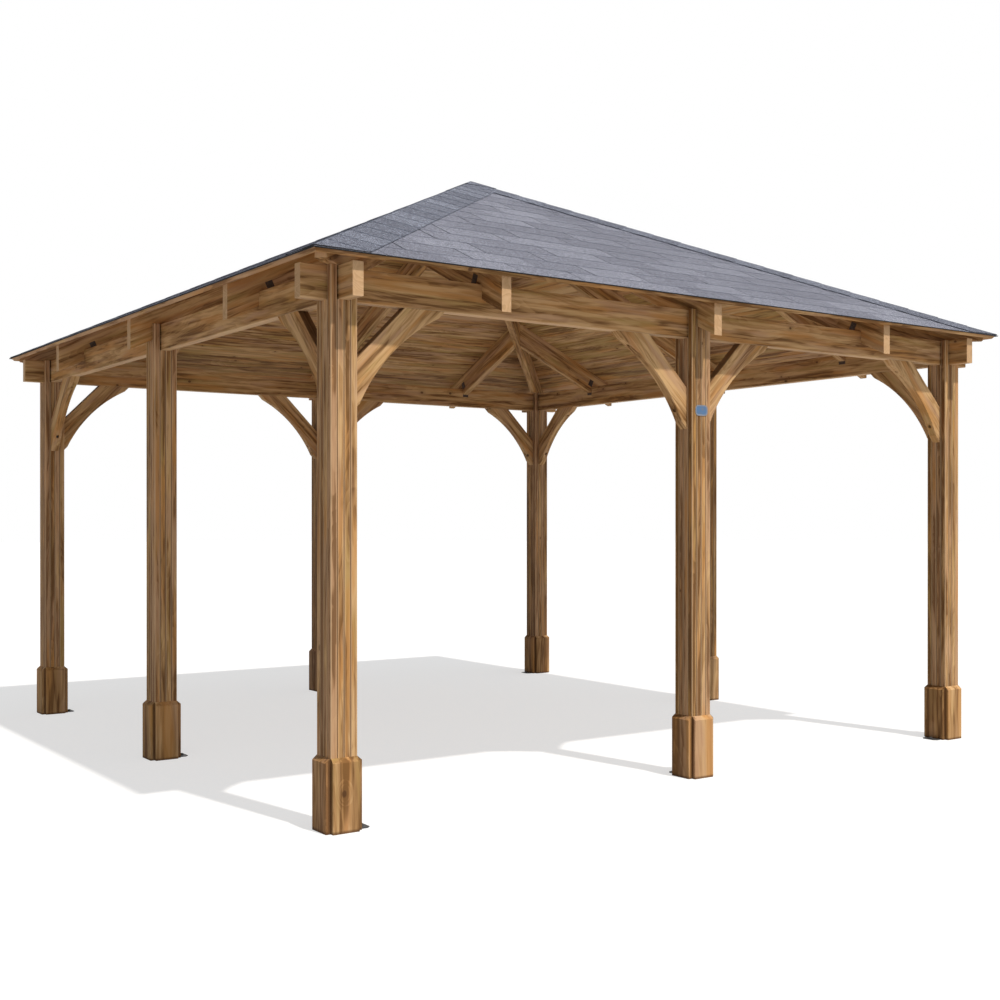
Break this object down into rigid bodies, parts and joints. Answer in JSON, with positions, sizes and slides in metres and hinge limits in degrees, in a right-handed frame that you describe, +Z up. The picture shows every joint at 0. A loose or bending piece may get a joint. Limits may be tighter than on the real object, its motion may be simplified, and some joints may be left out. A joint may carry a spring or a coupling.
{
  "type": "garden gazebo",
  "caption": "Open square timber gazebo with posts, knee braces and a hipped roof of rafters, boards and bitumen shingles.",
  "frame": {"origin": "on the ground at the middle of the square plan", "axes": "+X to the right along the front, +Y from the front to the back, +Z up"},
  "size_m": [4, 4, 3.0566],
  "materials": {
    "timber": "pressure-treated softwood, planed, brown",
    "roof_felt": "blue-grey mineral granules on bitumen",
    "plate": "satin blue paint, bare",
    "steel": "dark coated steel"
  },
  "bodies": {
    "root": {"post_front_left": "timber", "post_front_right": "timber", "post_back_right": "timber", "post_back_left": "timber", "post_front_middle": "timber", "post_right_middle": "timber", "post_back_middle": "timber", "post_left_middle": "timber", "skirt_front_left": "timber", "skirt_front_right": "timber", "skirt_back_right": "timber", "skirt_back_left": "timber", "skirt_front_middle": "timber", "skirt_right_middle": "timber", "skirt_back_middle": "timber", "skirt_left_middle": "timber", "beam_front": "timber", "beam_right": "timber", "beam_back": "timber", "beam_left": "timber", "braces_front_left": "timber", "braces_front_right": "timber", "braces_back_right": "timber", "braces_back_left": "timber", "braces_front_middle": "timber", "braces_back_middle": "timber", "hip_rafter_front_left": "timber", "hip_rafter_front_right": "timber", "hip_rafter_back_right": "timber", "hip_rafter_back_left": "timber", "rafter_front": "timber", "rafter_right": "timber", "rafter_back": "timber", "rafter_left": "timber", "jack_rafters_front": "timber", "jack_rafters_right": "timber", "jack_rafters_back": "timber", "jack_rafters_left": "timber", "king_block": "timber", "roof_boards_front": "timber", "roof_boards_right": "timber", "roof_boards_back": "timber", "roof_boards_left": "timber", "roof_felt": "roof_felt", "plain_plate": "plate", "ground_brackets": "steel"}
  },
  "joints": []
}
